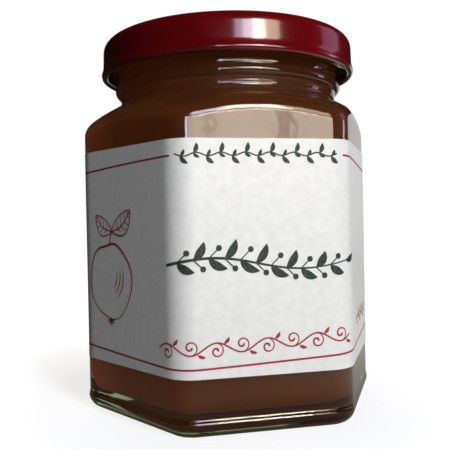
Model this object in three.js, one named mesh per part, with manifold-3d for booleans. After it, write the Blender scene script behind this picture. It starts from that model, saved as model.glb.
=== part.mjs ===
// A hexagonal glass jam jar filled with quince spread, closed by a twist-off metal lid.
// Millimetres, +Z up. The origin is the middle of the base, on the surface the jar stands on.
import * as THREE from "three";
import { mergeVertices } from "three/addons/utils/BufferGeometryUtils.js";
import Module from "manifold-3d";

const wasm = await Module();
wasm.setup();

// The glass body: a hexagonal prism with rounded corners, one flat facing -Y
const ACROSS_FLATS = 61.6;
const CORNER_R = 6.5;
const WALL = 2.5;
const HEEL_R = 3;
const BEARING_WIDTH = 3.5; // the flat ring that the jar stands on
const PUNT_RISE = 1.4; // how far the middle of the base is pushed up
const FLOOR_Z = 4.4;
const FLOOR_R = 3.5; // the inside radius between wall and floor

// The shoulder: a cone that the six sides run up into, with a rounded edge
const SHOULDER_SLOPE = THREE.MathUtils.degToRad(30);
const SHOULDER_R = 4;
const NECK_R = 25.9;
const NECK_ROOT_Z = 70.5;
const NECK_FILLET_R = 1.6;

// The neck above it: a carrying ring, the wall that the lid grips, and the sealing rim
const RING_R = 27.2;
const RING_LOW_Z = 72.9;
const RING_HIGH_Z = 75.5;
const RING_ROUND = 1.25;
const FINISH_R = 26.4;
const BORE_R = 23.6;
const RIM_Z = 84;
const RIM_ROUND = 0.7;

// Four short threads on the neck, each under a quarter turn long
const THREADS = 4;
const THREAD_R = 27.9;
const THREAD_ROOT_R = 25.2; // sunk well into the wall
const THREAD_RUNOUT = 0.2; // the share of its length over which each end rises
const THREAD_HEIGHT = 1.5;
const THREAD_LOW_Z = 79.55; // the underside at the lower end
const THREAD_RISE = 1.1;
const THREAD_START = THREE.MathUtils.degToRad(-15);
const THREAD_SPAN = THREE.MathUtils.degToRad(66);

// The lid: thin sheet steel, with a rolled edge that is pressed in to make four lugs
const LID_R = 30.4;
const LID_LOW_Z = 76.9;
const LID_TOP_Z = 85.7;
const SHEET = 0.5;
const SKIRT_LOW_R = 30;
const SKIRT_HIGH_R = 29.9;
const LID_SHOULDER_R = 2.5;
const CURL_HEIGHT = 2;
const CURL_DEPTH = 1.6;
const CHANNEL_IN_R = 22.7; // the raised ring of the top begins here
const PANEL_Z = 84.8;
const BUTTON_R = 10;
const BUTTON_Z = 85.2;
const LUG_R = 26.95;
const LUG_HALF_ANGLE = THREE.MathUtils.degToRad(10);
const LUG_LOW_Z = 77.2;
const LUG_HIGH_Z = 79.3;
const LUG_AT = THREE.MathUtils.degToRad(45);

// The sealing ring under the lid, the filling and the paper label
const LINER_IN_R = 23.7;
const LINER_OUT_R = 27.9;
const LINER_LOW_Z = 84.3;
const LINER_HIGH_Z = 84.9;
const FILL_GAP = 0.3;
const FILL_Z = 80;
const FILL_MENISCUS = 0.6;
const LABEL_LOW_Z = 12;
const LABEL_HIGH_Z = 59.3;
const LABEL_GAP = 0.15;
const LABEL_PAPER = 0.2;
const LABEL_OPENING = 12; // the strip of bare glass between its ends, at the back

// How finely the round stretches are divided
const CORNER_STEPS = 4;
const FLAT_STEPS = 5;
const ARC_STEPS = 3;
const THREAD_STEPS = 10;
const TURN_STEPS = 48;

const APOTHEM = ACROSS_FLATS / 2;
const SHOULDER_TURN = Math.PI / 2 - SHOULDER_SLOPE;
const coneRise = (r) => (NECK_R - r) * Math.tan(SHOULDER_SLOPE);

const MATERIALS = {
  glass: { color: 0xc4d2c2, roughness: 0.05, metalness: 0 },
  spread: { color: 0x4a1c0a, roughness: 0.35, metalness: 0 },
  lacquer: { color: 0x68080c, roughness: 0.15, metalness: 0.4 },
  compound: { color: 0xd9d2c0, roughness: 0.6, metalness: 0 },
  paper: { color: 0xe6e7e4, roughness: 0.7, metalness: 0 },
};

// The outline of a hexagon with rounded corners, counter-clockwise seen from above
function hexagon(apothem, cornerR) {
  const points = [];
  const cornerAt = (apothem - cornerR) / Math.cos(Math.PI / 6);
  const halfFlat = (apothem - cornerR) * Math.tan(Math.PI / 6);
  for (let k = 0; k < 6; k++) {
    const corner = (k * Math.PI) / 3;
    for (let j = 0; j <= CORNER_STEPS; j++) {
      const normal = corner + (j / CORNER_STEPS - 0.5) * (Math.PI / 3);
      points.push(new THREE.Vector2(
        cornerAt * Math.cos(corner) + cornerR * Math.cos(normal),
        cornerAt * Math.sin(corner) + cornerR * Math.sin(normal),
      ));
    }
    const normal = corner + Math.PI / 6;
    for (let j = 1; j < FLAT_STEPS; j++) {
      const along = halfFlat * ((2 * j) / FLAT_STEPS - 1);
      points.push(new THREE.Vector2(
        apothem * Math.cos(normal) - along * Math.sin(normal),
        apothem * Math.sin(normal) + along * Math.cos(normal),
      ));
    }
  }
  return points;
}

const level = (plan, z) => plan.map((p) => new THREE.Vector3(p.x, p.y, z));

// A ring of the outline pulled in by an inset, one of its points moved to a set radius, and one
// that shrinks towards the middle
const inset = (plan, z, by) => level(hexagon(plan.apothem - by, plan.cornerR - by), z);
const round = (plan, z, r) => level(plan.map((p) => p.clone().setLength(r)), z);
const shrunk = (ring, z, share) => ring.map((p) => new THREE.Vector3(p.x * share, p.y * share, z));

// A closed body through rings of equal count, with a point to close each end
function loft(rings, start, end) {
  const count = rings[0].length;
  const points = [start, ...rings.flat(), end];
  const last = points.length - 1;
  const faces = [];
  for (let i = 0; i < count; i++) {
    const next = (i + 1) % count;
    faces.push(0, 1 + next, 1 + i);
    for (let k = 0; k + 1 < rings.length; k++) {
      const [a, b] = [1 + k * count, 1 + (k + 1) * count];
      faces.push(a + i, a + next, b + next, a + i, b + next, b + i);
    }
    faces.push(last, last - count + i, last - count + next);
  }
  const geometry = new THREE.BufferGeometry().setFromPoints(points);
  geometry.setIndex(faces);
  return geometry;
}

// The same body as a solid that can be joined to others, and back
function solid(geometry) {
  const bare = geometry.clone();
  bare.deleteAttribute("normal");
  bare.deleteAttribute("uv");
  const merged = mergeVertices(bare, 1e-4);
  const index = merged.index.array;
  const triangles = [];
  for (let i = 0; i < index.length; i += 3) {
    const [a, b, c] = index.slice(i, i + 3);
    if (a !== b && b !== c && c !== a) triangles.push(a, b, c);
  }
  return new wasm.Manifold(new wasm.Mesh({
    numProp: 3,
    vertProperties: new Float32Array(merged.attributes.position.array),
    triVerts: new Uint32Array(triangles),
  }));
}

function surface(body) {
  const mesh = body.getMesh();
  const geometry = new THREE.BufferGeometry();
  geometry.setAttribute("position", new THREE.BufferAttribute(mesh.vertProperties, 3));
  geometry.setIndex(new THREE.BufferAttribute(mesh.triVerts, 1));
  return geometry;
}

function addPiece(group, name, geometry, material) {
  geometry.computeVertexNormals();
  const mesh = new THREE.Mesh(geometry, new THREE.MeshStandardMaterial(material));
  mesh.name = name;
  group.add(mesh);
}

// Points on an arc in the (r, z) plane
function arc(centreR, centreZ, radius, from, to) {
  const points = [];
  for (let j = 0; j <= ARC_STEPS; j++) {
    const angle = THREE.MathUtils.degToRad(from + ((to - from) * j) / ARC_STEPS);
    points.push([centreR + radius * Math.cos(angle), centreZ + radius * Math.sin(angle)]);
  }
  return points;
}

// Where the sides run up into the shoulder cone, which would reach the neck at rootZ. The flats
// end in an arch and the corners lower down.
function shoulder(plan, edgeR, rootZ) {
  const tangent = edgeR * Math.tan(SHOULDER_TURN / 2);
  const rings = [];
  for (let j = 0; j <= ARC_STEPS; j++) {
    const turned = (SHOULDER_TURN * j) / ARC_STEPS;
    rings.push(plan.map((p) => {
      const reach = p.length();
      const edgeZ = rootZ + coneRise(reach);
      const at = p.clone().setLength(reach - edgeR * (1 - Math.cos(turned)));
      return new THREE.Vector3(at.x, at.y, edgeZ - tangent + edgeR * Math.sin(turned));
    }));
  }
  return rings;
}

function outline(apothem, cornerR) {
  return Object.assign(hexagon(apothem, cornerR), { apothem, cornerR });
}

// The rounded lower edge, from the level it stands on up to the upright wall
function edgeRings(plan, lowZ, radius) {
  return arc(0, lowZ + radius, radius, -90, 0).map(([out, z]) => inset(plan, z, radius - out));
}

function threadRidge(middle) {
  const rings = [];
  for (let j = 0; j <= THREAD_STEPS; j++) {
    const share = j / THREAD_STEPS;
    const angle = middle + THREAD_START + THREAD_SPAN * share;
    const height = Math.min(1, share / THREAD_RUNOUT, (1 - share) / THREAD_RUNOUT);
    const crest = FINISH_R + (THREAD_R - FINISH_R) * height;
    const low = THREAD_LOW_Z + THREAD_RISE * share;
    const section = [
      [THREAD_ROOT_R, low],
      [THREAD_ROOT_R, low + THREAD_HEIGHT],
      [crest, low + THREAD_HEIGHT * 0.75],
      [crest, low + THREAD_HEIGHT * 0.2],
    ];
    rings.push(section.map(([r, z]) => new THREE.Vector3(r * Math.cos(angle), r * Math.sin(angle), z)));
  }
  const middleOf = (ring) => ring.reduce((sum, p) => sum.add(p), new THREE.Vector3()).divideScalar(4);
  return loft(rings, middleOf(rings[0]), middleOf(rings.at(-1)));
}

function glassJar() {
  const outside = outline(APOTHEM, CORNER_R);
  const inside = outline(APOTHEM - WALL, CORNER_R - WALL);
  const bearing = inset(outside, 0, HEEL_R + BEARING_WIDTH);
  const ring = [
    ...arc(RING_R - RING_ROUND, RING_LOW_Z + RING_ROUND, RING_ROUND, -80, 0),
    ...arc(RING_R - RING_ROUND, RING_HIGH_Z - RING_ROUND, RING_ROUND, 0, 70),
  ];
  const filletZ = NECK_ROOT_Z + NECK_FILLET_R * Math.tan(SHOULDER_TURN / 2);
  const neckFillet = arc(NECK_R + NECK_FILLET_R, filletZ, NECK_FILLET_R, 240, 180);
  const rim = [
    ...arc(FINISH_R - RIM_ROUND, RIM_Z - RIM_ROUND, RIM_ROUND, 0, 90),
    ...arc(BORE_R + RIM_ROUND, RIM_Z - RIM_ROUND, RIM_ROUND, 90, 180),
  ];
  const neck = [...neckFillet, ...ring, [FINISH_R, RING_HIGH_Z + RING_ROUND / 2], ...rim];
  const insideRootZ = NECK_ROOT_Z - WALL / Math.cos(SHOULDER_SLOPE);
  const rings = [
    ...[0.25, 0.6, 0.9, 1].map((share) => shrunk(bearing, PUNT_RISE * (1 - share ** 2), share)),
    ...edgeRings(outside, 0, HEEL_R),
    ...shoulder(outside, SHOULDER_R, NECK_ROOT_Z),
    ...neck.map(([r, z]) => round(outside, z, r)),
    round(inside, insideRootZ + coneRise(BORE_R), BORE_R),
    ...shoulder(inside, SHOULDER_R / 2, insideRootZ).reverse(),
    ...edgeRings(inside, FLOOR_Z, FLOOR_R).reverse(),
  ];
  const start = new THREE.Vector3(0, 0, PUNT_RISE);
  let body = solid(loft(rings, start, new THREE.Vector3(0, 0, FLOOR_Z)));
  for (let k = 0; k < THREADS; k++) {
    body = body.add(solid(threadRidge(LUG_AT + (k * 2 * Math.PI) / THREADS)));
  }
  return surface(body);
}

function quinceSpread() {
  const plan = outline(APOTHEM - WALL - FILL_GAP, CORNER_R - WALL - FILL_GAP);
  const rootZ = NECK_ROOT_Z - (WALL + FILL_GAP) / Math.cos(SHOULDER_SLOPE);
  const neckR = BORE_R - FILL_GAP;
  const rings = [
    ...edgeRings(plan, FLOOR_Z + FILL_GAP, FLOOR_R),
    ...shoulder(plan, SHOULDER_R / 2, rootZ),
    round(plan, rootZ + coneRise(neckR), neckR),
    round(plan, FILL_Z, neckR),
    round(plan, FILL_Z - FILL_MENISCUS, neckR - 2 * FILL_MENISCUS),
  ];
  const start = new THREE.Vector3(0, 0, FLOOR_Z + FILL_GAP);
  return loft(rings, start, new THREE.Vector3(0, 0, FILL_Z - FILL_MENISCUS));
}

// A lathe profile of [r, z] points, turned about Z
function turned(profile) {
  const points = profile.map(([r, z]) => new THREE.Vector2(r, z));
  return new THREE.LatheGeometry(points, TURN_STEPS).rotateX(Math.PI / 2);
}

function lug(angle) {
  const shape = new THREE.Shape();
  shape.absarc(0, 0, SKIRT_LOW_R - SHEET, -LUG_HALF_ANGLE, LUG_HALF_ANGLE, false);
  shape.absarc(0, 0, LUG_R, LUG_HALF_ANGLE * 0.8, -LUG_HALF_ANGLE * 0.8, true);
  const options = { depth: LUG_HIGH_Z - LUG_LOW_Z, bevelEnabled: false, curveSegments: 6 };
  return new THREE.ExtrudeGeometry(shape, options).translate(0, 0, LUG_LOW_Z).rotateZ(angle);
}

function lid() {
  const shoulderR = SKIRT_HIGH_R - LID_SHOULDER_R;
  const shoulderZ = LID_TOP_Z - LID_SHOULDER_R;
  const curlR = CURL_DEPTH / 2;
  const curlZ = LID_LOW_Z + curlR;
  const stepIn = CHANNEL_IN_R - (LID_TOP_Z - PANEL_Z);
  const underside = [
    [0, BUTTON_Z - SHEET],
    [BUTTON_R, BUTTON_Z - SHEET],
    [BUTTON_R + 1, PANEL_Z - SHEET],
    [stepIn + SHEET / 2, PANEL_Z - SHEET],
    [CHANNEL_IN_R + SHEET / 2, LID_TOP_Z - SHEET],
    ...arc(shoulderR, shoulderZ, LID_SHOULDER_R - SHEET, 90, 0),
    [SKIRT_LOW_R - SHEET, LID_LOW_Z + CURL_HEIGHT + 1],
    [LID_R - CURL_DEPTH, LID_LOW_Z + CURL_HEIGHT],
  ];
  const edge = [
    ...arc(LID_R - curlR, curlZ, curlR, 180, 360),
    [LID_R, LID_LOW_Z + CURL_HEIGHT * 0.75],
    [SKIRT_LOW_R, LID_LOW_Z + CURL_HEIGHT + 0.5],
  ];
  const top = [
    ...arc(shoulderR, shoulderZ, LID_SHOULDER_R, 0, 90),
    [CHANNEL_IN_R, LID_TOP_Z],
    [stepIn, PANEL_Z],
    [BUTTON_R + 1, PANEL_Z],
    [BUTTON_R, BUTTON_Z],
    [0, BUTTON_Z],
  ];
  let body = solid(turned([...underside, ...edge, ...top]));
  for (let k = 0; k < THREADS; k++) {
    body = body.add(solid(lug(LUG_AT + (k * 2 * Math.PI) / THREADS)));
  }
  return surface(body);
}

function lidLiner() {
  return turned([
    [LINER_IN_R, LINER_HIGH_Z],
    [LINER_IN_R, LINER_LOW_Z + 0.2],
    [LINER_IN_R + 0.2, LINER_LOW_Z],
    [LINER_OUT_R - 0.2, LINER_LOW_Z],
    [LINER_OUT_R, LINER_LOW_Z + 0.2],
    [LINER_OUT_R, LINER_HIGH_Z],
    [LINER_IN_R, LINER_HIGH_Z],
  ]);
}

// The label's line around the jar, from one end to the other, with its ends on the back
function labelPath(offset) {
  const around = hexagon(APOTHEM + offset, CORNER_R + offset);
  const perSide = around.length / 6;
  const first = 2 * perSide;
  const path = [new THREE.Vector2(-LABEL_OPENING / 2, APOTHEM + offset)];
  for (let i = 0; i < around.length - FLAT_STEPS + 1; i++) {
    path.push(around[(first + i) % around.length]);
  }
  path.push(new THREE.Vector2(LABEL_OPENING / 2, APOTHEM + offset));
  return path;
}

function label() {
  const inner = labelPath(LABEL_GAP);
  const outer = labelPath(LABEL_GAP + LABEL_PAPER);
  const shape = new THREE.Shape([...outer, ...inner.reverse()]);
  const options = { depth: LABEL_HIGH_Z - LABEL_LOW_Z, bevelEnabled: false };
  return new THREE.ExtrudeGeometry(shape, options).translate(0, 0, LABEL_LOW_Z);
}

const group = new THREE.Group();
addPiece(group, "glass_jar", glassJar(), MATERIALS.glass);
addPiece(group, "quince_spread", quinceSpread(), MATERIALS.spread);
addPiece(group, "label", label(), MATERIALS.paper);
addPiece(group, "lid", lid(), MATERIALS.lacquer);
addPiece(group, "lid_liner", lidLiner(), MATERIALS.compound);

export default group;
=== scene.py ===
# A hexagonal glass jar of quince spread with a paper label and a twist-off metal lid, seen a
# little from the left, at half its height.
import math

import bmesh
import bpy
from mathutils import Matrix, Vector


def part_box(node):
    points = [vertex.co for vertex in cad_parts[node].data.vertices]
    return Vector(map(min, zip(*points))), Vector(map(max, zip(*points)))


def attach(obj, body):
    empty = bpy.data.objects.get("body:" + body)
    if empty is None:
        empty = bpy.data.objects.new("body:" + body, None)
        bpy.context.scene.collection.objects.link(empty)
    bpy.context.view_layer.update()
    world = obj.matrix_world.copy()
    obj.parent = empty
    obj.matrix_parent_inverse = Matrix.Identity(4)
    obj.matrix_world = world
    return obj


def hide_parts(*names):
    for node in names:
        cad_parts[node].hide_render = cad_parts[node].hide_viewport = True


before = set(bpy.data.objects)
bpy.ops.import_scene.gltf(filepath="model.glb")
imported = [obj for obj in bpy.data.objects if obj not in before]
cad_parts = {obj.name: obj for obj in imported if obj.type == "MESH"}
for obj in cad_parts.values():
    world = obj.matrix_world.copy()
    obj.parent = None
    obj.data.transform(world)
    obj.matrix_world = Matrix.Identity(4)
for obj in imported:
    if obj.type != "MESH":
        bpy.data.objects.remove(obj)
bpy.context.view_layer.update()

# The camera stands close in front, a little to the left, at half the jar's height. Its place
# was worked out from the edges of the label, the base and the lid's rim.
MM = 0.001
CAMERA_AT = Vector((-35.4, -153.1, 43.0)) * MM
CAMERA_YAW, CAMERA_PITCH, CAMERA_ROLL = (math.radians(a) for a in (12.49, -0.34, -1.19))
PICTURE_WIDTH, FOCAL_LENGTH = 449, 636  # both in the picture's pixels
SENSOR_WIDTH = 36  # in millimetres, as Blender counts it
NEAREST = 10 * MM

forward = Vector((
    math.sin(CAMERA_YAW) * math.cos(CAMERA_PITCH),
    math.cos(CAMERA_YAW) * math.cos(CAMERA_PITCH),
    math.sin(CAMERA_PITCH),
))
level_right = Vector((math.cos(CAMERA_YAW), -math.sin(CAMERA_YAW), 0))
level_up = level_right.cross(forward)
right = math.cos(CAMERA_ROLL) * level_right + math.sin(CAMERA_ROLL) * level_up
up = right.cross(forward)
bpy.ops.object.camera_add()
camera = bpy.context.object
aim = Matrix((right, up, -forward)).transposed()
camera.matrix_world = Matrix.Translation(CAMERA_AT) @ aim.to_4x4()
camera.data.sensor_width = SENSOR_WIDTH
camera.data.lens = SENSOR_WIDTH * FOCAL_LENGTH / PICTURE_WIDTH
camera.data.clip_start = NEAREST
bpy.context.scene.camera = camera


# The glass jar. It is container glass, soda-lime with a trace of green from its iron, blown in
# a mould of two halves: six flat sides with rounded corners, a heavy pushed-up base, a sloping
# shoulder, a carrying ring on the neck and four short threads under a rounded sealing rim.
APOTHEM = 30.8 * MM
CORNER_R = 6.5 * MM
WALL = 2.5 * MM
HEEL_R = 3 * MM
BEARING = 3.5 * MM  # width of the flat ring that the jar stands on
PUNT_CORNER_R = 1 * MM
PUNT_RISE = 1.4 * MM
FLOOR_Z = 4.4 * MM
FLOOR_R = 3.5 * MM
SIXTH, TWELFTH = math.radians(60), math.radians(30)  # of a full turn
SLOPE = math.radians(30)
SHOULDER_R = 4 * MM
NECK_R = 25.9 * MM
ROOT_Z = 70.5 * MM
NECK_FILLET_R = 1.6 * MM
RING_R = 27.2 * MM
RING_LOW_Z, RING_HIGH_Z = 72.9 * MM, 75.5 * MM
RING_ROUND = 1.25 * MM
RING_TURN = 62  # degrees that the ring's upper edge turns inwards before it meets the neck
FINISH_R = 26.4 * MM
BORE_R = 23.6 * MM
BORE_CUT_HIGH, BORE_CUT_LOW = 0.4 * MM, 0.2 * MM  # the small slope between bore and shoulder
RIM_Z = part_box("glass_jar")[1].z
RIM_ROUND = 0.7 * MM
THREADS = 4
THREAD_R = 27.9 * MM
THREAD_HEIGHT = 1.5 * MM
THREAD_LOW_Z, THREAD_RISE = 79.55 * MM, 1.1 * MM
THREAD_START, THREAD_SPAN = math.radians(-15), math.radians(66)
THREAD_STEPS, THREAD_BENDS = 40, 8
THREAD_RUNOUT = 0.14  # the share of its length in which a thread runs out at each end
THREAD_ROOT_R, THREAD_FLANK_R = FINISH_R - 1.2 * MM, FINISH_R - 0.6 * MM
THREAD_END_R = FINISH_R - 0.2 * MM
THREAD_SQUARE = 0.6  # below 1 the rib's section is squarer than a half circle
LUG_AT = math.radians(45)
SEAM = 0.1 * MM  # the mould's parting line, on two opposite corners
SEAM_HALF = 0.3 * MM  # half the height of the seams round the neck
NECK_SEAM_Z, FINISH_SEAM_Z = 72.0 * MM, 76.4 * MM  # where the moulds of body, ring and rim meet
LEDGE = 0.12 * MM  # each of the two tiny steps that set the label's panel back from the heel
# The first step's place over the heel, the distance between both, and the height of each.
LEDGE_GAP, LEDGE_PITCH, LEDGE_RISE = 0.1 * MM, 0.65 * MM, 0.32 * MM
CORNER_STEPS, FLAT_STEPS, ARC_STEPS = 12, 10, 8
WELD = 0.001 * MM


def radial(angle):
    return Vector((math.cos(angle), math.sin(angle), 0))


def outline(apothem, corner_r, seam=0.0):
    """The plan of the six sides and their rounded corners, counter-clockwise."""
    points = []
    for k in range(6):
        corner = SIXTH * k
        centre = radial(corner) * (apothem - corner_r) / math.cos(TWELFTH)
        for j in range(CORNER_STEPS + 1):
            normal = corner + SIXTH * (j / CORNER_STEPS - 0.5)
            proud = seam if k % 3 == 0 and 2 * j == CORNER_STEPS else 0
            points.append(centre + (corner_r + proud) * radial(normal))
        out = radial(corner + TWELFTH)
        along = Vector((-out.y, out.x, 0)) * (apothem - corner_r) * math.tan(TWELFTH)
        for j in range(1, FLAT_STEPS):
            points.append(out * apothem + along * (2 * j / FLAT_STEPS - 1))
    return points


def lift(points, z):
    return [Vector((p.x, p.y, z)) for p in points]


def on_circle(points, r, z):
    return [Vector((p.x, p.y, 0)).normalized() * r + Vector((0, 0, z)) for p in points]


def arc(centre_r, centre_z, radius, start, end, steps=ARC_STEPS):
    """Points on an arc in the plane of radius and height, between two angles in degrees."""
    angles = [math.radians(start + (end - start) * j / steps) for j in range(steps + 1)]
    return [(centre_r + radius * math.cos(a), centre_z + radius * math.sin(a)) for a in angles]


def ridge(r, z, steps=8):
    """A low rounded ridge on an upright wall, as two parts of a mould leave where they meet."""
    turns = [2 * math.pi * j / steps for j in range(steps + 1)]
    return [
        (r + SEAM * 0.25 * (1 - math.cos(a)), z + SEAM_HALF * (a / math.pi - 1)) for a in turns
    ]


def cone_rise(r):
    return (NECK_R - r) * math.tan(SLOPE)


def lower_edge(apothem, corner_r, low_z, radius, seam=0.0):
    """Rings from the level of the floor round its edge up to the upright sides."""
    rings = []
    for out, z in arc(0, low_z + radius, radius, -90, 0):
        inset = radius - out
        rings.append(lift(outline(apothem - inset, corner_r - inset, seam * out / radius), z))
    return rings


def shoulder(points, edge_r, root_z):
    """Rings where the sides turn into the cone that would meet the neck at root_z."""
    bend = math.pi / 2 - SLOPE
    tangent = edge_r * math.tan(bend / 2)
    rings = []
    for j in range(ARC_STEPS + 1):
        turned = bend * j / ARC_STEPS
        ring = []
        for p in points:
            at = p.normalized() * (p.length - edge_r * (1 - math.cos(turned)))
            edge_z = root_z + cone_rise(p.length)
            ring.append(Vector((at.x, at.y, edge_z - tangent + edge_r * math.sin(turned))))
        rings.append(ring)
    return rings


def between(lower, upper, shares):
    """Rings between two others, which keep the flats flat up to their rounded ends."""
    return [[a.lerp(b, share) for a, b in zip(lower, upper)] for share in shares]


def skin(name, rings):
    """A closed body. A circle's edge is extruded from ring to ring and its open ends are filled."""
    bpy.ops.object.select_all(action="DESELECT")
    bpy.ops.mesh.primitive_circle_add(vertices=len(rings[0]))
    piece = bpy.context.object
    piece.name = piece.data.name = name
    bpy.ops.object.mode_set(mode="EDIT")
    mesh = bmesh.from_edit_mesh(piece.data)
    place = mesh.verts.layers.int.new("place")
    for number, vertex in enumerate(mesh.verts):
        vertex[place] = number
    for number, ring in enumerate(rings):
        if number:
            bpy.ops.mesh.extrude_edges_move()
            mesh = bmesh.from_edit_mesh(piece.data)
            place = mesh.verts.layers.int["place"]
        for vertex in mesh.verts:
            if vertex.select:
                vertex.co = ring[vertex[place]]
        bmesh.update_edit_mesh(piece.data)
    bpy.ops.mesh.select_all(action="SELECT")
    bpy.ops.mesh.remove_doubles(threshold=WELD)
    bpy.ops.mesh.fill_holes(sides=0)
    bpy.ops.mesh.select_all(action="SELECT")
    bpy.ops.mesh.normals_make_consistent(inside=False)
    bpy.ops.object.mode_set(mode="OBJECT")
    piece.data.attributes.remove(piece.data.attributes["place"])
    return piece


def pick(piece):
    bpy.ops.object.select_all(action="DESELECT")
    piece.select_set(True)
    bpy.context.view_layer.objects.active = piece


def finish_piece(piece, material, body, node=None, smooth=30):
    """Smooths it, gives it its material and hands it to the body that it moves with."""
    pick(piece)
    bpy.ops.object.shade_smooth_by_angle(angle=math.radians(smooth))
    piece.data.materials.clear()
    piece.data.materials.append(material)
    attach(piece, body)
    if node:
        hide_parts(node)


def thread(middle):
    """One thread: a low rounded rib that climbs to the right and runs out at both ends."""
    rings = []
    half = THREAD_HEIGHT / 2
    for j in range(THREAD_STEPS + 1):
        share = j / THREAD_STEPS
        angle = middle + THREAD_START + THREAD_SPAN * share
        swell = min(1, share / THREAD_RUNOUT, (1 - share) / THREAD_RUNOUT)
        crest = THREAD_END_R + (THREAD_R - THREAD_END_R) * math.sin(math.pi / 2 * swell)
        low = THREAD_LOW_Z + THREAD_RISE * share
        section = [(THREAD_ROOT_R, low), (THREAD_ROOT_R, low + THREAD_HEIGHT)]
        for bend in range(THREAD_BENDS + 1):
            turn = math.radians(90 - 180 * bend / THREAD_BENDS)
            reach = THREAD_FLANK_R + (crest - THREAD_FLANK_R) * math.cos(turn) ** THREAD_SQUARE
            section.append((reach, low + half + half * math.sin(turn)))
        rings.append([radial(angle) * r + Vector((0, 0, z)) for r, z in section])
    return skin("thread", rings)


def glass_jar():
    sides = outline(APOTHEM, CORNER_R, SEAM)
    inner_apothem, inner_corner = APOTHEM - WALL, CORNER_R - WALL
    inner = outline(inner_apothem, inner_corner)
    bearing = outline(APOTHEM - HEEL_R - BEARING, PUNT_CORNER_R)
    shares = [j / 10 for j in range(1, 11)]
    punt = [lift([p * s for p in bearing], PUNT_RISE * (1 - s ** 2)) for s in shares]
    heel = lower_edge(APOTHEM + 2 * LEDGE, CORNER_R + 2 * LEDGE, 0, HEEL_R, SEAM)
    steps = []
    for number in range(2):
        for t in (0, 0.15, 0.85, 1):
            out = LEDGE * (2 - number - t)
            at = HEEL_R + LEDGE_GAP + LEDGE_PITCH * number + LEDGE_RISE * t
            steps.append(lift(outline(APOTHEM + out, CORNER_R + out, SEAM), at))
    outer_shoulder = shoulder(sides, SHOULDER_R, ROOT_Z)
    fillet_z = ROOT_Z + NECK_FILLET_R * math.tan((math.pi / 2 - SLOPE) / 2)
    neck = arc(NECK_R + NECK_FILLET_R, fillet_z, NECK_FILLET_R, 240, 180)
    neck += ridge(NECK_R, NECK_SEAM_Z)
    neck += arc(RING_R - RING_ROUND, RING_LOW_Z + RING_ROUND, RING_ROUND, -80, 0)
    neck += arc(RING_R - RING_ROUND, RING_HIGH_Z - RING_ROUND, RING_ROUND, 0, RING_TURN)
    turn = math.radians(RING_TURN)
    bend = (neck[-1][0] - FINISH_R) / (1 - math.cos(turn))
    neck += arc(FINISH_R + bend, neck[-1][1] + bend * math.sin(turn), bend, 180 + RING_TURN, 180)
    neck += ridge(FINISH_R, FINISH_SEAM_Z)
    neck += arc(FINISH_R - RIM_ROUND, RIM_Z - RIM_ROUND, RIM_ROUND, 0, 90)
    neck += arc(BORE_R + RIM_ROUND, RIM_Z - RIM_ROUND, RIM_ROUND, 90, 180)
    inner_root = ROOT_Z - WALL / math.cos(SLOPE)
    inner_shoulder = shoulder(inner, SHOULDER_R / 2, inner_root)
    floor = lower_edge(inner_apothem, inner_corner, FLOOR_Z, FLOOR_R)
    rings = punt + heel + steps
    rings += between(steps[-1], outer_shoulder[0], (0.01, 0.03, 0.5, 0.97, 0.99))
    rings += outer_shoulder
    rings += [on_circle(sides, r, z) for r, z in neck]
    bore_z = inner_root + cone_rise(BORE_R)
    rings += [on_circle(inner, BORE_R, bore_z + BORE_CUT_HIGH)]
    rings += [on_circle(inner, BORE_R + BORE_CUT_HIGH, bore_z - BORE_CUT_LOW)]
    rings += inner_shoulder[::-1]
    rings += between(inner_shoulder[0], floor[-1], (0.02, 0.5, 0.98))
    rings += floor[::-1]
    rings += [lift([p * s for p in floor[0]], FLOOR_Z) for s in (0.7, 0.35, 0.05)]
    jar = skin("clear_glass_jar", rings)
    for k in range(THREADS):
        rib = thread(LUG_AT + 2 * math.pi * k / THREADS)
        pick(jar)
        join = jar.modifiers.new("join thread", "BOOLEAN")
        join.operation, join.solver, join.object = "UNION", "EXACT", rib
        bpy.ops.object.modifier_apply(modifier=join.name)
        bpy.data.objects.remove(rib)
    return jar


def linear(colour):
    """A linear colour from an sRGB hex value."""
    levels = [int(colour[i:i + 2], 16) / 255 for i in (1, 3, 5)]
    return [v / 12.92 if v <= 0.04045 else ((v + 0.055) / 1.055) ** 2.4 for v in levels] + [1]


def add(material, kind, links=None, **settings):
    """Adds a node. Settings that name an input set it, the others set the node itself."""
    node = material.node_tree.nodes.new("ShaderNode" + kind)
    for name, value in settings.items():
        title = name.replace("_", " ")
        if title in node.inputs:
            node.inputs[title].default_value = value
        else:
            setattr(node, name, value)
    for name, source in (links or {}).items():
        material.node_tree.links.new(source, node.inputs[name])
    return node


def new_material(name):
    material = bpy.data.materials.new(name)
    material.use_nodes = True
    material.node_tree.nodes.clear()
    return material


GLASS_WAVE, GLASS_RIPPLE = 9.09 * MM, 1.923 * MM  # from crest to crest


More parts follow.
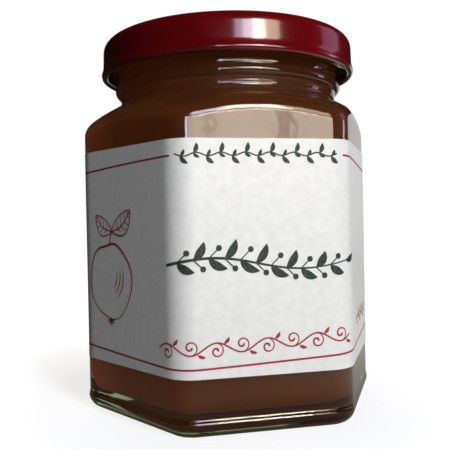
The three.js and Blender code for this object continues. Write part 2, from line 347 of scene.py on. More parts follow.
def container_glass():
    """Soda-lime glass, fire-polished: clear and hardly rough, with the slow waves and the fine
    ripple that the mould leaves, and green where the eye looks along the wall. Shadow rays pass
    through it, so that the lamps light what is in the jar."""
    glass = new_material("container_glass")
    spot = add(glass, "TexCoord").outputs["Object"]
    waves = add(glass, "TexNoise", {"Vector": spot}, Scale=1 / GLASS_WAVE, Detail=0.0)
    ripple = add(glass, "TexNoise", {"Vector": spot}, Scale=1 / GLASS_RIPPLE, Detail=1.0)
    slow = add(glass, "Bump", {"Height": waves.outputs["Fac"]}, Strength=0.12, Distance=0.2 * MM)
    fine = add(
        glass, "Bump", {"Height": ripple.outputs["Fac"], "Normal": slow.outputs["Normal"]},
        Strength=0.6, Distance=0.04 * MM,
    )
    clear = add(
        glass, "BsdfPrincipled", {"Normal": fine.outputs["Normal"]},
        Base_Color=linear("#f4faf2"), Roughness=0.05, IOR=1.52, Transmission_Weight=1.0,
    )
    lamps = add(glass, "LightPath")
    through = add(glass, "BsdfTransparent", Color=linear("#e4efe0"))
    surface = add(glass, "MixShader", {"Fac": lamps.outputs["Is Shadow Ray"]})
    glass.node_tree.links.new(clear.outputs[0], surface.inputs[1])
    glass.node_tree.links.new(through.outputs[0], surface.inputs[2])
    tint = add(glass, "VolumeAbsorption", Color=linear("#bcc8aa"), Density=48.0)
    add(glass, "OutputMaterial", {"Surface": surface.outputs[0], "Volume": tint.outputs[0]})
    return glass


jar = glass_jar()
glass = container_glass()
finish_piece(jar, glass, "jar", "glass_jar")


# The filling. A quince spread is poured in hot and sets against the glass up into the neck: a
# dark amber jelly with fine pulp in it, which wets the wall, so that no air shows between.
FILL_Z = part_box("quince_spread")[1].z
WETTING = 0.06 * MM  # how far the filling is sunk into the inner face of the glass
MENISCUS, MENISCUS_SHARE = 0.6 * MM, 1 / 7  # its height, and its share of the neck's radius


def filling():
    inset = WALL - WETTING
    plan = outline(APOTHEM - inset, CORNER_R - inset)
    root = ROOT_Z - inset / math.cos(SLOPE)
    neck_r = BORE_R + WETTING
    floor = lower_edge(APOTHEM - inset, CORNER_R - inset, FLOOR_Z - WETTING, FLOOR_R)
    upper = shoulder(plan, SHOULDER_R / 2, root)
    rings = [lift([p * s for p in floor[0]], FLOOR_Z - WETTING) for s in (0.05, 0.35, 0.7)]
    rings += floor + between(floor[-1], upper[0], (0.02, 0.5, 0.98)) + upper
    bore_z = root + cone_rise(neck_r)
    rings += [on_circle(plan, neck_r + BORE_CUT_HIGH, bore_z - BORE_CUT_LOW)]
    rings += [on_circle(plan, neck_r, bore_z + BORE_CUT_HIGH)]
    rings += [on_circle(plan, neck_r, FILL_Z)]
    for share in (0.97, 0.93, 0.86, 0.6, 0.3, 0.05):
        sag = MENISCUS * min(1, (1 - share) / MENISCUS_SHARE)
        rings += [on_circle(plan, neck_r * share, FILL_Z - sag)]
    return skin("spread_filling", rings)


PULP_CLOUD = 18.2 * MM
GLOW_LOW, GLOW_HIGH = 0.044, 0.024  # just over the floor of the jar, and in the neck
GLOW_AT_SIDE = 2.2  # how many times stronger the glow is in the jar's left edge


def quince_jelly():
    """Cooked quince: a dark red-brown gel with clouds of fine pulp, in which the light goes deep
    and comes out amber on all sides. A weak glow stands for the light that has crossed the whole
    jar. It is stronger low down, near the white floor, and in the thin left edge."""
    jelly = new_material("quince_jelly")
    spot = add(jelly, "TexCoord").outputs["Object"]
    cloud = add(jelly, "TexNoise", {"Vector": spot}, Scale=1 / PULP_CLOUD, Detail=2.0)
    shade = add(jelly, "ValToRGB", {"Fac": cloud.outputs["Fac"]})
    tones = ((0.3, "#391a0c"), (0.75, "#452110"))
    for stop, (at, colour) in zip(shade.color_ramp.elements, tones):
        stop.position, stop.color = at, linear(colour)
    parts = add(jelly, "SeparateXYZ", {"Vector": spot})
    depth = add(
        jelly, "MapRange", {"Value": parts.outputs["Z"]},
        From_Min=FLOOR_Z, From_Max=FILL_Z, To_Min=GLOW_LOW, To_Max=GLOW_HIGH,
    )
    thin = add(
        jelly, "MapRange", {"Value": parts.outputs["X"]},
        From_Min=-APOTHEM * 1.05, From_Max=-APOTHEM * 0.85, To_Min=GLOW_AT_SIDE, To_Max=1.0,
    )
    glow = add(
        jelly, "Math", {0: depth.outputs["Result"], 1: thin.outputs["Result"]}, operation="MULTIPLY"
    )
    surface = add(
        jelly, "BsdfPrincipled",
        {"Base Color": shade.outputs["Color"], "Emission Strength": glow.outputs["Value"]},
        Roughness=0.5, IOR=1.4, Specular_IOR_Level=0.1, Emission_Color=linear("#ff7e40"),
        Subsurface_Weight=1.0, Subsurface_Radius=(1.0, 0.4, 0.15), Subsurface_Scale=14 * MM,
    )
    add(jelly, "OutputMaterial", {"Surface": surface.outputs[0]})
    return jelly


spread = filling()
finish_piece(spread, quince_jelly(), "jar", "quince_spread")


# The label. One strip of white uncoated paper is glued round the six sides, and its two ends
# stop short of each other at the back.
LABEL_LOW, LABEL_HIGH = (corner.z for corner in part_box("label"))
LABEL_OPENING = 12 * MM
LABEL_OFF = 0.18 * MM  # the paper's outer face, from the glass
PAPER = 0.12 * MM
LABEL_APOTHEM, LABEL_CORNER = APOTHEM + LABEL_OFF, CORNER_R + LABEL_OFF
LABEL_FLAT = 2 * (LABEL_APOTHEM - LABEL_CORNER) * math.tan(TWELFTH)
LABEL_SIDE = LABEL_FLAT + LABEL_CORNER * SIXTH
LABEL_LENGTH = 6 * LABEL_SIDE - LABEL_OPENING
LABEL_HEIGHT = LABEL_HIGH - LABEL_LOW
LABEL_COLUMNS, LABEL_ROWS = 260, 12
UV_PER_METRE = 10


def on_label(along, height, proud=0.0):
    """The point at a distance along the label from the middle of its front, rightwards, and at
    a height above its lower edge."""
    side = round(along / LABEL_SIDE)
    rest = along - side * LABEL_SIDE
    normal = SIXTH * side - math.radians(90)
    bend = math.copysign(max(abs(rest) - LABEL_FLAT / 2, 0) / LABEL_CORNER, rest)
    out = radial(normal)
    across = Vector((-out.y, out.x, 0))
    flat_part = max(-LABEL_FLAT / 2, min(LABEL_FLAT / 2, rest))
    centre = out * (LABEL_APOTHEM - LABEL_CORNER) + across * flat_part
    level = Vector((0, 0, LABEL_LOW + height))
    return centre + radial(normal + bend) * (LABEL_CORNER + proud) + level


def paper_label():
    bpy.ops.object.select_all(action="DESELECT")
    bpy.ops.mesh.primitive_grid_add(
        x_subdivisions=LABEL_COLUMNS, y_subdivisions=LABEL_ROWS, size=1
    )
    label = bpy.context.object
    label.name = label.data.name = "paper_label"
    flat = [
        (vertex.co.x * LABEL_LENGTH, (vertex.co.y + 0.5) * LABEL_HEIGHT)
        for vertex in label.data.vertices
    ]
    uv = label.data.uv_layers.active.data
    for loop in label.data.loops:
        along, height = flat[loop.vertex_index]
        uv[loop.index].uv = (along * UV_PER_METRE, height * UV_PER_METRE)
    for vertex, (along, height) in zip(label.data.vertices, flat):
        vertex.co = on_label(along, height)
    pick(label)
    thick = label.modifiers.new("thickness", "SOLIDIFY")
    thick.thickness, thick.offset = PAPER, -1
    bpy.ops.object.modifier_apply(modifier=thick.name)
    return label


PAPER_MOTTLE = 1.4286 * MM
PAPER_FIBRE = 0.25 * MM  # real fibres are a tenth as wide and would not show


def uncoated_paper():
    """White label paper, pressed smooth: faintly mottled, with a little sheen where it is seen
    flat, and with fibres that catch the light."""
    paper = new_material("uncoated_paper")
    spot = add(paper, "TexCoord").outputs["Object"]
    mottle = add(paper, "TexNoise", {"Vector": spot}, Scale=1 / PAPER_MOTTLE, Detail=4.0)
    fibre = add(paper, "TexNoise", {"Vector": spot}, Scale=1 / PAPER_FIBRE, Detail=3.0)
    shade = add(paper, "ValToRGB", {"Fac": mottle.outputs["Fac"]})
    tones = ((0.3, "#e8ebea"), (0.7, "#f2f5f4"))
    for stop, (at, colour) in zip(shade.color_ramp.elements, tones):
        stop.position, stop.color = at, linear(colour)
    bump = add(paper, "Bump", {"Height": fibre.outputs["Fac"]}, Strength=0.35, Distance=0.05 * MM)
    surface = add(
        paper, "BsdfPrincipled",
        {"Base Color": shade.outputs["Color"], "Normal": bump.outputs["Normal"]},
        Roughness=0.45, Specular_IOR_Level=0.6,
    )
    add(paper, "OutputMaterial", {"Surface": surface.outputs[0]})
    return paper


label = paper_label()
finish_piece(label, uncoated_paper(), "jar", "label", smooth=40)


# The print. Two inks, a dark red and a dark green, lie on the paper: thin rules near both
# edges, a leaf garland, a leafy sprig and a running scroll on the front, a quince with its
# leaves in outline on the left side, and a short garland on the right.
INK = 0.004 * MM
PRINT_LEVELS = 40  # strokes that cross lie at levels of their own
INK_STEP = 0.4 * MM
RED_RULE = 0.42 * MM
INK_GRAIN = 0.4 * MM  # coarser than the paper's real fibres, so that it shows


def stroke(points, width):
    """Both edges of a drawn line. Its width is a number or a function of the share drawn."""
    edges = []
    for i, point in enumerate(points):
        ahead = points[min(i + 1, len(points) - 1)] - points[max(i - 1, 0)]
        side = Vector((-ahead.y, ahead.x)).normalized()
        wide = width(i / (len(points) - 1)) if callable(width) else width
        edges.append((point + side * wide / 2, point - side * wide / 2))
    return edges


def heading(angle):
    return Vector((math.cos(angle), math.sin(angle)))


def bowed(t):
    return max(math.sin(math.pi * t), 0.0) ** 0.8


def leaf(base, length, angle, width):
    """A filled leaf, drawn as one short stroke that swells and curves."""
    points = []
    for j in range(13):
        t = j / 12
        bend = angle + 0.5 * (t - 0.5)
        points.append(base + heading(bend) * length * t)
    return stroke(points, lambda t: max(width * bowed(t), 0.04 * MM))


def curl(centre, radius, start, turns, hand, width):
    """A spiral that winds in from its start angle and swells to a dot in the middle."""
    count = int(26 * turns)
    points = []
    for j in range(count + 1):
        t = j / count
        angle = start + hand * 2 * math.pi * turns * t
        points.append(centre + heading(angle) * radius * (1 - 0.88 * t))
    return stroke(points, lambda t: width * (0.75 + 0.8 * t))


def line(function, start, end, width):
    count = max(int(abs(end - start) / INK_STEP), 8)
    spots = [start + (end - start) * j / count for j in range(count + 1)]
    return stroke([Vector((s, function(s))) for s in spots], width)


def closed(points, width):
    return stroke(points + points[:1], width)


def printed(name, strokes, ink):
    """Lays the strokes on the label as thin strips of ink, each a hair above the one before."""
    corners, faces = [], []
    for number, edges in enumerate(strokes):
        proud = (2 + number % PRINT_LEVELS) * INK / 2
        first = len(corners)
        for left, right_edge in edges:
            corners.append(on_label(left.x, left.y, proud))
            corners.append(on_label(right_edge.x, right_edge.y, proud))
        for j in range(len(edges) - 1):
            a = first + 2 * j
            faces.append((a, a + 1, a + 3, a + 2))
    mesh = bpy.data.meshes.new(name)
    mesh.from_pydata(corners, [], faces)
    piece = bpy.data.objects.new(name, mesh)
    bpy.context.scene.collection.objects.link(piece)
    pick(piece)
    thick = piece.modifiers.new("thickness", "SOLIDIFY")
    thick.thickness, thick.offset = INK / 2, -1
    bpy.ops.object.modifier_apply(modifier=thick.name)
    finish_piece(piece, ink, "jar", smooth=40)


def printing_ink(name, colour, worn):
    """Offset ink on uncoated paper: matt, and a little thin on top of the fibres."""
    ink = new_material(name)
    spot = add(ink, "TexCoord").outputs["Object"]
    grain = add(ink, "TexNoise", {"Vector": spot}, Scale=1 / INK_GRAIN, Detail=2.0)
    shade = add(ink, "ValToRGB", {"Fac": grain.outputs["Fac"]})
    for stop, (at, tone) in zip(shade.color_ramp.elements, ((0.45, colour), (0.8, worn))):
        stop.position, stop.color = at, linear(tone)
    surface = add(
        ink, "BsdfPrincipled", {"Base Color": shade.outputs["Color"]},
        Roughness=0.6, Specular_IOR_Level=0.3,
    )
    add(ink, "OutputMaterial", {"Surface": surface.outputs[0]})
    return ink


def upper_rule(s):
    """The height of the upper rule, which sags a little on both sides of the front."""
    return LABEL_HEIGHT - (3.1 * MM + 0.0006 * s * s / MM)


def lower_rule(s):
    """The height of the lower rule, which is lowest near the left corner and rises both ways."""
    lowest_at, bend = -18 * MM, 8 * MM
    return 1.9 * MM + 0.045 * (math.hypot(s - lowest_at, bend) - bend)


def garland(start, end, height):
    """A thin waving stem with a pair of small leaves at each bend."""
    wave, swing = 5 * MM, 0.35 * MM

    def stem(s):
        return height(s) + swing * math.sin(2 * math.pi * s / wave)

    strokes = [line(stem, start, end, 0.3 * MM)]
    count = int((end - start) / wave * 2)
    for j in range(count):
        s = start + (end - start) * (j + 0.5) / count
        base = Vector((s, stem(s)))
        tilt = math.radians(58 if j % 2 else -58)
        strokes.append(leaf(base, 2.1 * MM, tilt, 0.95 * MM))
        strokes.append(leaf(base, 1.5 * MM, -tilt * 0.8, 0.7 * MM))
    return strokes


def sprig(start, end, middle):
    """A long branch in a slow double bend, with leaves on both sides and round buds."""
    length = end - start
    bud_r = 0.6 * MM

    def stem(s):
        return middle + 1.3 * MM * math.sin(2 * math.pi * (s - start) / length)

    def round_width(t):
        return 2 * bud_r * math.sqrt(max(1 - (2 * t - 1) ** 2, 0.001))

    spots = [start + length * j / 90 for j in range(91)]
    branch = [Vector((s, stem(s))) for s in spots]
    strokes = [stroke(branch, lambda t: 0.62 * MM - 0.35 * MM * t)]
    for j in range(11):
        s = start + length * (0.07 + 0.083 * j)
        base = Vector((s, stem(s)))
        size = (4.6 - 0.16 * abs(j - 4)) * MM
        lean = math.radians(44 if j % 2 else -44)
        strokes.append(leaf(base, size, lean, 1.7 * MM))
        stalk = [base + heading(-lean) * size * 0.55 * t / 6 for t in range(7)]
        strokes.append(stroke(stalk, 0.25 * MM))
        bud_at = base + heading(-lean) * size * 0.66
        bud = [bud_at + Vector(((t / 8 - 1) * bud_r, 0)) for t in range(17)]
        strokes.append(stroke(bud, round_width))
    tip = Vector((end, stem(end)))
    strokes.append(leaf(tip, 3.6 * MM, math.radians(8), 1.4 * MM))
    return strokes


def scroll(start, end, height):
    """A running scroll: a wave with a spiral curling back in each bend."""
    count, swing = 8, 1.1 * MM
    pitch = (end - start) / count
    strokes = [line(
        lambda s: height(s) + swing * math.sin(math.pi * (s - start) / pitch),
        start, end, 0.34 * MM,
    )]
    for j in range(count):
        s = start + pitch * (j + 0.5)
        side = 1 if j % 2 == 0 else -1
        centre = Vector((s, height(s) - side * 0.5 * MM))
        begin = math.radians(80 if side > 0 else -80)
        strokes.append(curl(centre, 1.55 * MM, begin, 1.25, -side, 0.3 * MM))
        tip = Vector((s + pitch * 0.28, height(s) + side * 0.9 * MM))
        strokes.append(leaf(tip, 1.7 * MM, math.radians(35 * side), 0.7 * MM))
    return strokes


def quince_drawing(centre, size):
    """A quince in outline, with its crown below, a short stalk and two veined leaves."""
    fruit = []
    for j in range(72):
        a = 2 * math.pi * j / 72
        r = size * (1 + 0.07 * math.cos(2 * a) - 0.16 * math.sin(a) + 0.03 * math.cos(5 * a))
        fruit.append(centre + Vector((math.cos(a) * r * 0.86, math.sin(a) * r)))
    strokes = [closed(fruit, lambda t: 0.36 * MM + 0.14 * MM * math.sin(2 * math.pi * t))]
    top = centre + Vector((0, size * 0.8))
    stalk_over, stalk_high = 0.9 * MM, 2.6 * MM
    stalk = [top + Vector((stalk_over * (t / 8) ** 2, stalk_high * t / 8)) for t in range(9)]
    strokes.append(stroke(stalk, 0.42 * MM))
    crown = centre - Vector((0, size * 1.1))
    for j in range(5):
        strokes.append(leaf(crown, 1.5 * MM, math.radians(-90 + 36 * (j - 2)), 0.4 * MM))
    for j in range(3):
        shade = []
        for t in range(12):
            at = heading(math.radians(-62 + 7 * t))
            wide, high = size * (0.3 + 0.14 * j), size * (0.34 + 0.15 * j)
            shade.append(centre + Vector((wide * at.x, high * at.y)))
        strokes.append(stroke(shade, lambda t: 0.26 * MM * bowed(t) + 0.05 * MM))
    for hand, tilt, length in ((1, 32, 8.5 * MM), (-1, 152, 7.5 * MM)):
        strokes += leaf_drawing(stalk[-1], length, math.radians(tilt), hand)
    return strokes


def leaf_drawing(base, length, angle, hand):
    """A leaf in outline, with its midrib and side veins."""
    forth = heading(angle)
    across = Vector((-forth.y, forth.x))
    rib = []
    for j in range(17):
        sag = hand * length * 0.12 * math.sin(math.pi * j / 16)
        rib.append(base + forth * length * j / 16 - across * sag)
    strokes = [stroke(rib, 0.3 * MM)]
    for side in (1, -1):
        reach = side * length * 0.26
        edge = [point + across * reach * bowed(j / 16) for j, point in enumerate(rib)]
        strokes.append(stroke(edge, 0.32 * MM))
        for j in (4, 7, 10, 13):
            reach = length * 0.2 * bowed(j / 16)
            vein = [rib[j] + (across * side + forth * 0.7) * reach * t / 5 for t in range(6)]
            strokes.append(stroke(vein, 0.2 * MM))
    return strokes


red_ink = printing_ink("dark_red_ink", "#a01c34", "#b4506a")
green_ink = printing_ink("dark_green_ink", "#20342c", "#4a5c54")
print_end = LABEL_LENGTH / 2 - 2 * MM
garland_left, garland_right = -18.2 * MM, 15.6 * MM
scroll_left, scroll_right, scroll_over_rule = -23.5 * MM, 18.3 * MM, 3.9 * MM
quince_at, quince_size = Vector((-41 * MM, 19.5 * MM)), 8.8 * MM
sprig_left, sprig_right, sprig_height = -20.6 * MM, 17.5 * MM, 22.4 * MM
side_garland_left, side_garland_right, side_garland_height = 27 * MM, 44 * MM, 9 * MM
red_strokes = [
    line(upper_rule, -print_end, garland_left - 1.1 * MM, RED_RULE),
    line(upper_rule, garland_right + 1.6 * MM, print_end, RED_RULE),
    line(lower_rule, -print_end, print_end, RED_RULE),
]
red_strokes += scroll(scroll_left, scroll_right, lambda s: lower_rule(s) + scroll_over_rule)
red_strokes += quince_drawing(quince_at, quince_size)
red_strokes += garland(side_garland_left, side_garland_right, lambda s: side_garland_height)
green_strokes = garland(garland_left, garland_right, upper_rule)
green_strokes += sprig(sprig_left, sprig_right, sprig_height)
printed("red_print", red_strokes, red_ink)
printed("green_print", green_strokes, green_ink)


# The lid. Tinplate is pressed to shape, lacquered dark red outside and pale gold inside, and its
# edge is rolled in. In four places the roll is pressed in further, to make the lugs that catch
# under the threads. The raised ring on top holds the sealing ring, and the middle has a button.
LID_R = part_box("lid")[1].x
LID_LOW, LID_TOP = (corner.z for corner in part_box("lid"))
SHEET = 0.35 * MM
SKIRT_LOW_R, SKIRT_HIGH_R = 30 * MM, 29.9 * MM
LID_EDGE_R = 2.5 * MM
CURL_HEIGHT, CURL_DEPTH = 2 * MM, 1.6 * MM
CURL_UPRIGHT = 0.5 * MM  # the upright stretch on the inner side of the roll
BULGE_R, FLARE_R = 1 * MM, 5 * MM
BULGE_LIFT = 0.15 * MM
FLARE = math.degrees(math.acos(1 - (LID_R - SKIRT_LOW_R) / (BULGE_R + FLARE_R)))
INSIDE_FOOT_Z = LID_LOW + CURL_HEIGHT + 1 * MM
CHANNEL_R = 22.7 * MM
PANEL_Z = 84.8 * MM
BUTTON_R, BUTTON_Z = 10 * MM, 85.2 * MM
BUTTON_SLOPE, MIDDLE_R = 1 * MM, 0.3 * MM
LUG_R, LUG_HALF = 27 * MM, math.radians(10)
LUG_FLAT = 0.55  # the share of a lug that is pressed in to its full depth
LUG_DEPTH = LID_R - CURL_DEPTH - LUG_R
LID_COUNT = 192


def eased(points, radius=0.35 * MM, steps=4):
    """A profile with each inner corner rounded off."""
    smooth = [points[0]]
    for before, at, after in zip(points, points[1:], points[2:]):
        at, into, out = Vector(at), Vector(before) - Vector(at), Vector(after) - Vector(at)
        cut = min(radius, into.length * 0.45, out.length * 0.45)
        start, end = at + into.normalized() * cut, at + out.normalized() * cut
        for j in range(steps + 1):
            t = j / steps
            smooth.append(tuple(start * (1 - t) ** 2 + at * 2 * t * (1 - t) + end * t * t))
    return smooth + [points[-1]]


def lug_push(angle):
    """How much of the lugs' full depth the roll is pressed in at an angle round the lid."""
    pitch = 2 * math.pi / THREADS
    away = abs((angle - LUG_AT + pitch / 2) % pitch - pitch / 2)
    slope = min(1, max(0, away / LUG_HALF - LUG_FLAT) / (1 - LUG_FLAT))
    return 0.5 + 0.5 * math.cos(math.pi * slope)


def lid_body():
    edge_r, edge_z = SKIRT_HIGH_R - LID_EDGE_R, LID_TOP - LID_EDGE_R
    step_in = CHANNEL_R - (LID_TOP - PANEL_Z)
    curl_r = CURL_DEPTH / 2
    curl_z = LID_LOW + curl_r
    bulge_z = curl_z + BULGE_LIFT
    panel = [
        (MIDDLE_R, BUTTON_Z), (BUTTON_R, BUTTON_Z), (BUTTON_R + BUTTON_SLOPE, PANEL_Z),
        (step_in, PANEL_Z), (CHANNEL_R, LID_TOP), (edge_r, LID_TOP),
    ]
    under = [(r, z - SHEET) for r, z in eased(panel)]
    under += arc(edge_r, edge_z, LID_EDGE_R - SHEET, 90, 0)[1:]
    under += [(SKIRT_LOW_R - SHEET, INSIDE_FOOT_Z)]
    roll_in = arc(LID_R - curl_r, curl_z + CURL_UPRIGHT, curl_r, 120, 180, 5)
    roll = arc(LID_R - curl_r, curl_z, curl_r, 180, 330, 12)
    roll += arc(LID_R - BULGE_R, bulge_z, BULGE_R, -10, FLARE, 6)
    flare_z = bulge_z + (BULGE_R + FLARE_R) * math.sin(math.radians(FLARE))
    outside = arc(SKIRT_LOW_R + FLARE_R, flare_z, FLARE_R, 180 + FLARE, 180)[1:]
    outside += arc(edge_r, edge_z, LID_EDGE_R, 0, 90)
    outside += eased(panel)[::-1]

    def ring(r, z, pressed=0.0):
        points = []
        for k in range(LID_COUNT):
            angle = 2 * math.pi * k / LID_COUNT
            reach = r - pressed * lug_push(angle) * LUG_DEPTH
            points.append(Vector((reach * math.cos(angle), reach * math.sin(angle), z)))
        return points

    rings = [ring(r, z) for r, z in under]
    rings += [ring(r, z, min(1, j / 2)) for j, (r, z) in enumerate(roll_in)]
    rings += [ring(r, z, max(0, 1 - j / 7)) for j, (r, z) in enumerate(roll)]
    rings += [ring(r, z) for r, z in outside]
    return skin("lid_shell", rings)


LACQUER_PEEL, LACQUER_CLOUD = 2.222 * MM, 16.67 * MM


def red_lacquer():
    """Stoved lacquer on tinplate: deep red and glossy, with faint orange peel, and a colour that
    is a little uneven from print and rubbing."""
    lacquer = new_material("red_lacquer")
    spot = add(lacquer, "TexCoord").outputs["Object"]
    peel = add(lacquer, "TexNoise", {"Vector": spot}, Scale=1 / LACQUER_PEEL, Detail=1.0)
    cloud = add(lacquer, "TexNoise", {"Vector": spot}, Scale=1 / LACQUER_CLOUD, Detail=6.0)
    shade = add(lacquer, "ValToRGB", {"Fac": cloud.outputs["Fac"]})
    tones = ((0.3, "#530308"), (0.75, "#6b060c"))
    for stop, (at, colour) in zip(shade.color_ramp.elements, tones):
        stop.position, stop.color = at, linear(colour)
    bump = add(lacquer, "Bump", {"Height": peel.outputs["Fac"]}, Strength=0.06, Distance=0.1 * MM)
    surface = add(
        lacquer, "BsdfPrincipled",
        {"Base Color": shade.outputs["Color"], "Normal": bump.outputs["Normal"]},
        Roughness=0.3, Specular_IOR_Level=0.05, Coat_Weight=1.0, Coat_Roughness=0.13, Coat_IOR=1.6,
    )
    add(lacquer, "OutputMaterial", {"Surface": surface.outputs[0]})
    return lacquer


GOLD_FLOW = 5 * MM


def gold_lacquer():
    """The food-safe inside lacquer: a thin pale gold film over the tin, a little uneven."""
    gold = new_material("gold_inside_lacquer")
    spot = add(gold, "TexCoord").outputs["Object"]
    flow = add(gold, "TexNoise", {"Vector": spot}, Scale=1 / GOLD_FLOW, Detail=3.0)
    shade = add(gold, "ValToRGB", {"Fac": flow.outputs["Fac"]})
    tones = ((0.35, "#a98a52"), (0.7, "#c4a66a"))
    for stop, (at, colour) in zip(shade.color_ramp.elements, tones):
        stop.position, stop.color = at, linear(colour)
    surface = add(
        gold, "BsdfPrincipled", {"Base Color": shade.outputs["Color"]},
        Roughness=0.3, Metallic=0.85,
    )
    add(gold, "OutputMaterial", {"Surface": surface.outputs[0]})
    return gold


lid = lid_body()
finish_piece(lid, red_lacquer(), "lid", "lid", smooth=40)
lid.data.materials.append(gold_lacquer())
for face in lid.data.polygons:
    outward = Vector((face.center.x, face.center.y, 0)).normalized()
    under_the_top = face.normal.z < -0.5 and face.center.z > RIM_Z
    in_the_skirt = face.normal.dot(outward) < -0.8 and face.center.z > LID_LOW + CURL_HEIGHT
    if under_the_top or in_the_skirt:
        face.material_index = 1


# The sealing ring. A soft compound is flowed into the lid's channel and stoved, and the glass
# rim beds into it.
LINER_IN, LINER_OUT = 23.7 * MM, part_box("lid_liner")[1].x
LINER_LOW, LINER_HIGH = (corner.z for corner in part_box("lid_liner"))
LINER_ROUND = 0.25 * MM
BEAD_R, BEAD_OVER = 0.85 * MM, 0.05 * MM  # the low bead between the ring's two edges
LINER_COUNT = 144
LINER_FLOW = 2 * MM


def sealing_ring():
    edge_z = LINER_LOW + LINER_ROUND
    bead_z = LINER_LOW + BEAD_OVER + BEAD_R
    profile = arc(LINER_IN + LINER_ROUND, edge_z, LINER_ROUND, 180, 270, 4)
    profile += arc((LINER_IN + LINER_OUT) / 2, bead_z, BEAD_R, 240, 300, 6)
    profile += arc(LINER_OUT - LINER_ROUND, edge_z, LINER_ROUND, 270, 360, 4)
    profile += [(LINER_OUT, LINER_HIGH), (LINER_IN, LINER_HIGH)]
    circle = [radial(2 * math.pi * k / LINER_COUNT) for k in range(LINER_COUNT)]
    return skin("sealing_ring", [on_circle(circle, r, z) for r, z in profile + profile[:1]])


def sealing_compound():
    """Plastisol: an off-white soft plastic, matt, with a slightly uneven flow."""
    compound = new_material("plastisol")
    spot = add(compound, "TexCoord").outputs["Object"]
    flow = add(compound, "TexNoise", {"Vector": spot}, Scale=1 / LINER_FLOW, Detail=2.0)
    shade = add(compound, "ValToRGB", {"Fac": flow.outputs["Fac"]})
    for stop, colour in zip(shade.color_ramp.elements, ("#cfc7b2", "#e4ddcb")):
        stop.color = linear(colour)
    bump = add(compound, "Bump", {"Height": flow.outputs["Fac"]}, Strength=0.2, Distance=0.1 * MM)
    surface = add(
        compound, "BsdfPrincipled",
        {"Base Color": shade.outputs["Color"], "Normal": bump.outputs["Normal"]}, Roughness=0.55,
    )
    add(compound, "OutputMaterial", {"Surface": surface.outputs[0]})
    return compound


finish_piece(sealing_ring(), sealing_compound(), "lid", "lid_liner")


# The studio. Upright light panels stand round the jar, in the colours and widths in which a
# window and the sill below it show in the lid, the neck and the shoulder. Some of them show in
# reflections alone. The floor is seamless white, and a card and a back light stand behind.
PANELS_FAR = 0.7  # from the jar's axis, in metres, as the panels' heights are
WINDOW_LOW, WINDOW_HIGH = 0.26, 0.44
WHITE_HIGH, UPPER_HIGH, BEIGE_HIGH, SKY_HIGH = 0.33, 0.5, 0.47, 0.95
SILL_LOW, SILL_HIGH, SILL_SIDE_HIGH, SILL_TOP = 0.12, 0.205, 0.222, 0.224
BOARD_SIZE = 6
BOARD_UNDER = 0.02 * MM  # keeps its face out of the jar's bearing ring
# the painted shade round the jar on the floor fades out between these distances
SHADOW_NEAR, SHADOW_FAR = 45 * MM, 110 * MM


def strip_light(name, left, right_edge, low, high, colour, strength, unseen=()):
    """An upright light panel. Its sides are azimuths from the front, in degrees, and its ends
    are heights. It is left out for the kinds of ray in unseen."""
    middle = math.radians((left + right_edge) / 2)
    bpy.ops.object.light_add(type="AREA")
    light = bpy.context.object
    light.name = name
    centre = Vector((math.sin(middle), -math.cos(middle), 0)) * PANELS_FAR
    centre.z = (low + high) / 2
    light.location = centre
    target = Vector((0, 0, centre.z))
    light.rotation_euler = (target - centre).to_track_quat("-Z", "Y").to_euler()
    light.data.shape = "RECTANGLE"
    light.data.size = PANELS_FAR * 2 * math.tan(math.radians(right_edge - left) / 2)
    light.data.size_y = high - low
    light.data.color = linear(colour)[:3]
    light.data.energy = math.pi * strength * light.data.size * light.data.size_y
    for kind in unseen:
        setattr(light, "visible_" + kind, False)


mirrored = ("diffuse",)  # shows in reflections alone
strip_light("window_edge", -6, 1, WINDOW_LOW, WINDOW_HIGH, "#e2d6ee", 7, mirrored)
strip_light("window_lilac", 1, 10, WINDOW_LOW, WINDOW_HIGH, "#e8e0f4", 15, mirrored)
strip_light("window_white", 10, 20.5, WINDOW_LOW, WHITE_HIGH, "#fffae8", 25)
strip_light("window_upper", 10, 20.5, WHITE_HIGH, UPPER_HIGH, "#fffbee", 21)
strip_light("window_beige", 20.5, 33.5, WINDOW_LOW, BEIGE_HIGH, "#efd2b4", 10)
strip_light(
    "window_high", 12, 28, UPPER_HIGH, SKY_HIGH, "#c0daff", 23, ("glossy", "transmission")
)
strip_light("sill_left", -22, -15, SILL_LOW, SILL_SIDE_HIGH, "#d4e4ff", 17, mirrored)
strip_light("sill_corner", -15, 3, SILL_LOW, SILL_SIDE_HIGH, "#fae8d2", 9, mirrored)
strip_light("sill_first", 3, 8.9, SILL_LOW, SILL_HIGH, "#fae8d2", 10)
strip_light("sill_streak", 8.9, 10.1, SILL_LOW, SILL_HIGH, "#ead4c0", 8)
strip_light("sill_second", 10.1, 16.8, SILL_LOW, SILL_HIGH, "#fae8d4", 10.5)
strip_light("sill_shade", 16.8, 18.6, SILL_LOW, SILL_HIGH, "#ead4c0", 7.5)
strip_light("sill_third", 18.6, 36, SILL_LOW, SILL_HIGH, "#fae8d2", 10)
strip_light("sill_top", 3, 36, SILL_HIGH, SILL_TOP, "#fff6e2", 18)
strip_light("far_right_cool", 80, 105, 0.264, 0.5, "#dcaee0", 1.15)
strip_light("far_right_low", 84, 94, 0.1, 0.214, "#e6dcf4", 6, mirrored)
strip_light("card_behind", 125, 170, 0, 0.22, "#fbfaf6", 0.8, ("camera",))
strip_light("back_light", 150, 225, 0.3, 0.9, "#fff4e6", 2, ("camera", "glossy"))


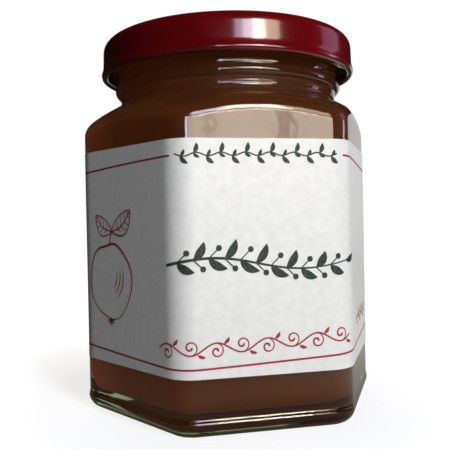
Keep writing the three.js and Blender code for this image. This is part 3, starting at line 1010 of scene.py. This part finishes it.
def white_board():
    """Painted board. The camera sees it white, with painted shade that darkens it a little round
    the jar, and with the jar's soft shadow. Its scattered light is weaker. Reflections see it dark,
    apart from a painted glow: a bright patch on the right and a faint glow close to the jar."""
    board = new_material("pale_floor")
    ray = add(board, "LightPath")
    matt = add(board, "BsdfDiffuse", Color=linear("#a8a8a8"))
    spot = add(board, "TexCoord").outputs["Object"]
    away = add(board, "VectorMath", {"Vector": spot}, operation="LENGTH")
    # painted shade: the camera sees the floor less bright close round the jar
    painted_shade_fade = add(
        board, "MapRange", {"Value": away.outputs["Value"]},
        From_Min=SHADOW_NEAR, From_Max=SHADOW_FAR, To_Min=0.72, To_Max=1.0,
    )
    fill = add(board, "Emission", {"Strength": painted_shade_fade.outputs["Result"]}, Color=linear("#ffffff"))
    seen = add(board, "AddShader")
    board.node_tree.links.new(matt.outputs[0], seen.inputs[0])
    board.node_tree.links.new(fill.outputs[0], seen.inputs[1])
    scattered = add(board, "BsdfDiffuse", Color=linear("#5c5c5c"))
    # painted glow that reflections see: a bright patch to the right of the jar and a faint glow
    # close round it, weaker towards the front
    rightwards = add(board, "VectorMath", {"Vector": spot}, operation="DOT_PRODUCT")
    rightwards.inputs[1].default_value = (1.0, -0.35, 0)
    right_part = add(
        board, "MapRange", {"Value": rightwards.outputs["Value"]},
        From_Min=10 * MM, From_Max=80 * MM, To_Min=0.0, To_Max=0.9,
    )
    patch_end = add(
        board, "MapRange", {"Value": away.outputs["Value"]},
        From_Min=150 * MM, From_Max=240 * MM, To_Min=1.0, To_Max=0.0,
    )
    near = add(
        board, "MapRange", {"Value": away.outputs["Value"]},
        From_Min=60 * MM, From_Max=110 * MM, To_Min=0.3, To_Max=0.05,
    )
    parts = add(board, "SeparateXYZ", {"Vector": spot})
    front_part = add(
        board, "MapRange", {"Value": parts.outputs["Y"]},
        From_Min=-60 * MM, From_Max=-20 * MM, To_Min=1.0, To_Max=0.4,
    )
    glow = add(
        board, "Math", {0: near.outputs["Result"], 1: front_part.outputs["Result"]},
        operation="MULTIPLY",
    )
    patch = add(
        board, "Math", {0: right_part.outputs["Result"], 1: patch_end.outputs["Result"]},
        operation="MULTIPLY",
    )
    lit = add(board, "Math", {0: patch.outputs[0], 1: glow.outputs[0]}, operation="MAXIMUM")
    shine = add(board, "Emission", {"Strength": lit.outputs[0]}, Color=linear("#f0f4e6"))
    unseen = add(board, "MixShader", {"Fac": ray.outputs["Is Diffuse Ray"]})
    board.node_tree.links.new(shine.outputs[0], unseen.inputs[1])
    board.node_tree.links.new(scattered.outputs[0], unseen.inputs[2])
    either = add(board, "MixShader", {"Fac": ray.outputs["Is Camera Ray"]})
    board.node_tree.links.new(unseen.outputs[0], either.inputs[1])
    board.node_tree.links.new(seen.outputs[0], either.inputs[2])
    add(board, "OutputMaterial", {"Surface": either.outputs[0]})
    return board


bpy.ops.object.select_all(action="DESELECT")
bpy.ops.mesh.primitive_plane_add(size=BOARD_SIZE, location=(0, 0, -BOARD_UNDER))
floor = bpy.context.object
floor.name = "floor"
floor.data.materials.append(white_board())

world = bpy.data.worlds.new("studio")
world.use_nodes = True
bpy.context.scene.world = world
sky = world.node_tree.nodes
sky["Background"].inputs["Color"].default_value = linear("#e8ecf0")
sky["Background"].inputs["Strength"].default_value = 0.006
backdrop = sky.new("ShaderNodeBackground")
backdrop.inputs["Color"].default_value = linear("#ffffff")
seen = sky.new("ShaderNodeLightPath")
choice = sky.new("ShaderNodeMixShader")
world.node_tree.links.new(seen.outputs["Is Camera Ray"], choice.inputs["Fac"])
world.node_tree.links.new(sky["Background"].outputs[0], choice.inputs[1])
world.node_tree.links.new(backdrop.outputs[0], choice.inputs[2])
world.node_tree.links.new(choice.outputs[0], sky["World Output"].inputs["Surface"])
bpy.context.scene.view_settings.view_transform = "Standard"
